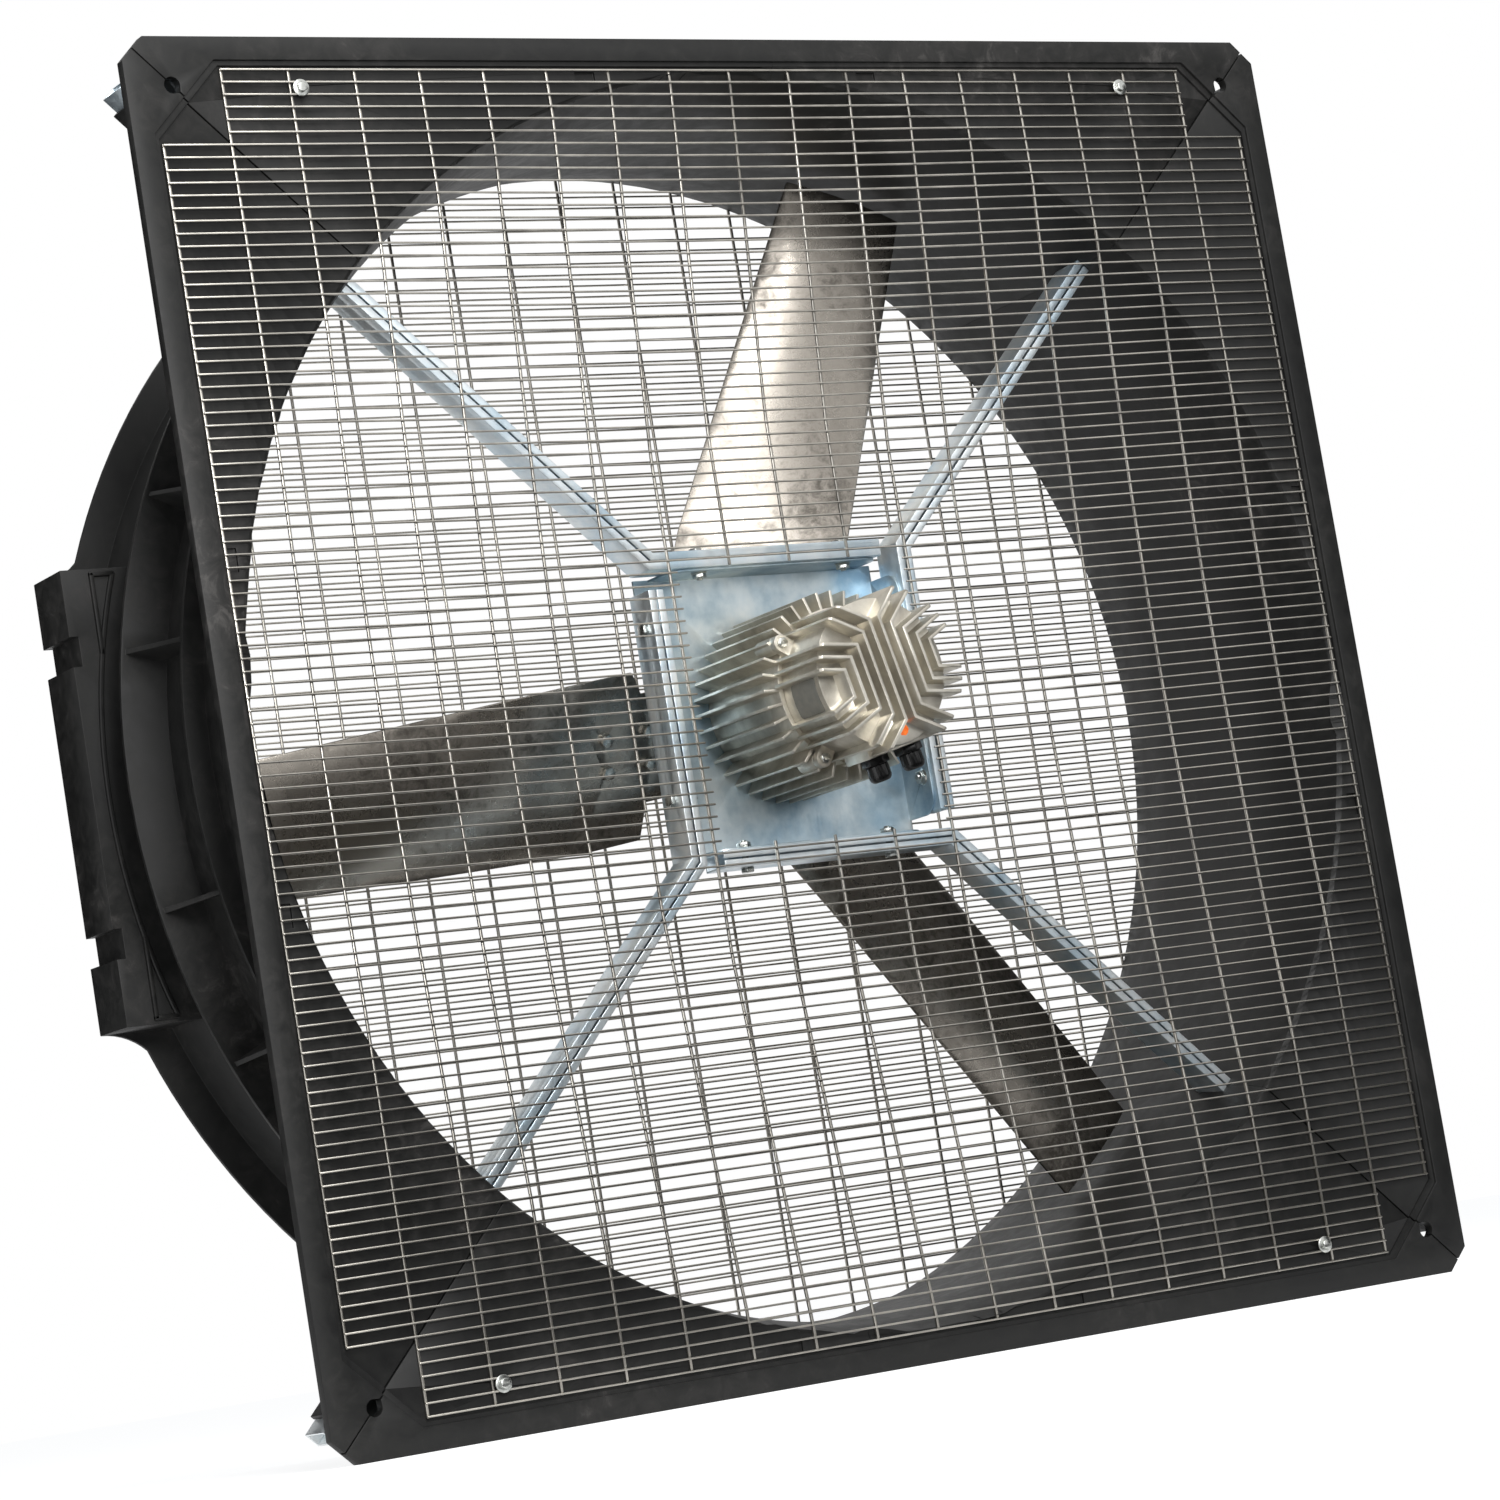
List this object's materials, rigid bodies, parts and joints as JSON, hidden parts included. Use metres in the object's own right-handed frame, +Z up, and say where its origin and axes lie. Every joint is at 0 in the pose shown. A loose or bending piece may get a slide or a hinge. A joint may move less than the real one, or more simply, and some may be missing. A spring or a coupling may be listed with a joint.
{
  "type": "barn ventilation fan",
  "caption": "Square wall fan for a barn: a moulded black housing with wire grilles and folded struts that carry a finned motor, which turns a sheet-metal propeller in the round throat",
  "frame": {"origin": "on the propeller's axis, in the plane of the panel's front face, which is the centre of the four wall bolts", "axes": "+Z up, +Y along the axis from the inlet to the outlet, +X to the right seen from the inlet side"},
  "size_m": [1.4, 0.5092, 1.4],
  "materials": {
    "moulded_black": "satin",
    "zinc_sheet": "satin",
    "steel_wire": "satin",
    "cast_aluminium": "satin",
    "blade_sheet": "satin",
    "zinc_fastener": "satin",
    "bright_steel": "satin",
    "black_plastic": "satin",
    "seal_rubber": "matte",
    "copper_winding": "satin",
    "board_green": "satin"
  },
  "bodies": {
    "housing": {"housing_segment_top": "moulded_black", "housing_segment_right": "moulded_black", "housing_segment_bottom": "moulded_black", "housing_segment_left": "moulded_black", "front_grille": "steel_wire", "rear_guard": "steel_wire", "strut_top_left": "zinc_sheet", "strut_top_right": "zinc_sheet", "strut_bottom_right": "zinc_sheet", "strut_bottom_left": "zinc_sheet", "motor_plate": "zinc_sheet", "motor_body": "cast_aluminium", "motor_end_cap": "cast_aluminium", "bearing_shield": "cast_aluminium", "grille_screws": "zinc_fastener", "grille_washers": "zinc_fastener", "guard_screws": "zinc_fastener", "guard_washers": "zinc_fastener", "strut_bolts": "zinc_fastener", "strut_nuts": "zinc_fastener", "seam_bolts": "zinc_fastener", "anchor_bolts": "zinc_fastener", "housing_nuts": "zinc_fastener", "motor_bolts": "zinc_fastener", "cap_screws": "zinc_fastener", "front_bearing": "bright_steel", "rear_bearing": "bright_steel", "stator_core": "bright_steel", "cable_glands": "black_plastic", "shaft_seal": "seal_rubber", "stator_windings": "copper_winding", "drive_board": "board_green"},
    "propeller": {"motor_shaft": "bright_steel", "rotor_core": "bright_steel", "rotor_magnets": "bright_steel", "propeller_hub": "cast_aluminium", "blade_1": "blade_sheet", "blade_2": "blade_sheet", "blade_3": "blade_sheet", "blade_bolts": "zinc_fastener", "blade_nuts": "zinc_fastener", "hub_key": "bright_steel", "hub_washer": "zinc_fastener", "hub_bolt": "zinc_fastener"}
  },
  "joints": [
    {"name": "propeller_spin", "type": "hinge", "parent": "housing", "child": "propeller", "pos_m": [0, 0.2, 0], "axis": [0, 1, 0], "continuous": true}
  ]
}
